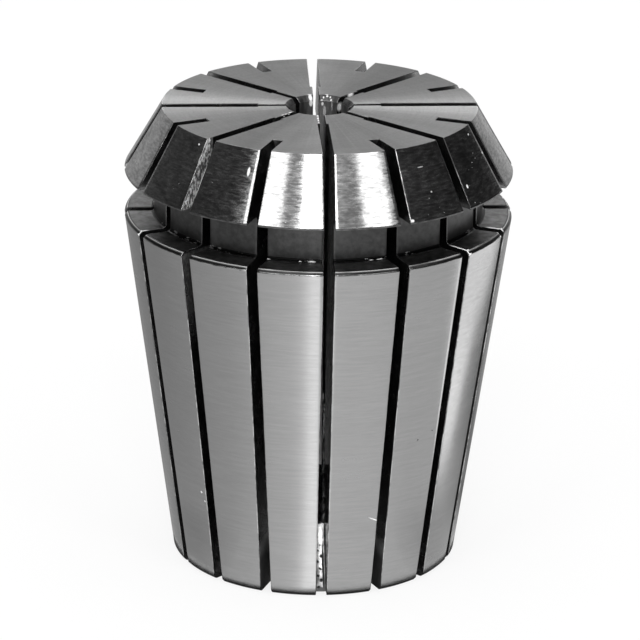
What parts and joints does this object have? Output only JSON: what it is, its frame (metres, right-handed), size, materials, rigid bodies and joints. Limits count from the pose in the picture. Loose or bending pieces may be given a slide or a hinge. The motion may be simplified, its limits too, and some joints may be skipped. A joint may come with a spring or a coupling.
{
  "type": "er collet",
  "caption": "Slotted spring steel collet with a steep nose cone, an extraction groove and a long taper, sawn from both ends around a small gripping bore.",
  "frame": {"origin": "centre of the rear face, which is the small end that the collet stands on", "axes": "+Z along the bore axis, from the rear face to the nose; a nose slot lies on -Y"},
  "size_m": [0.033, 0.033, 0.04],
  "materials": {
    "steel": "ground spring steel, satin on the long taper, mirror-ground on the nose cone, turned on the nose face"
  },
  "bodies": {
    "root": {"collet": "steel"}
  },
  "joints": []
}
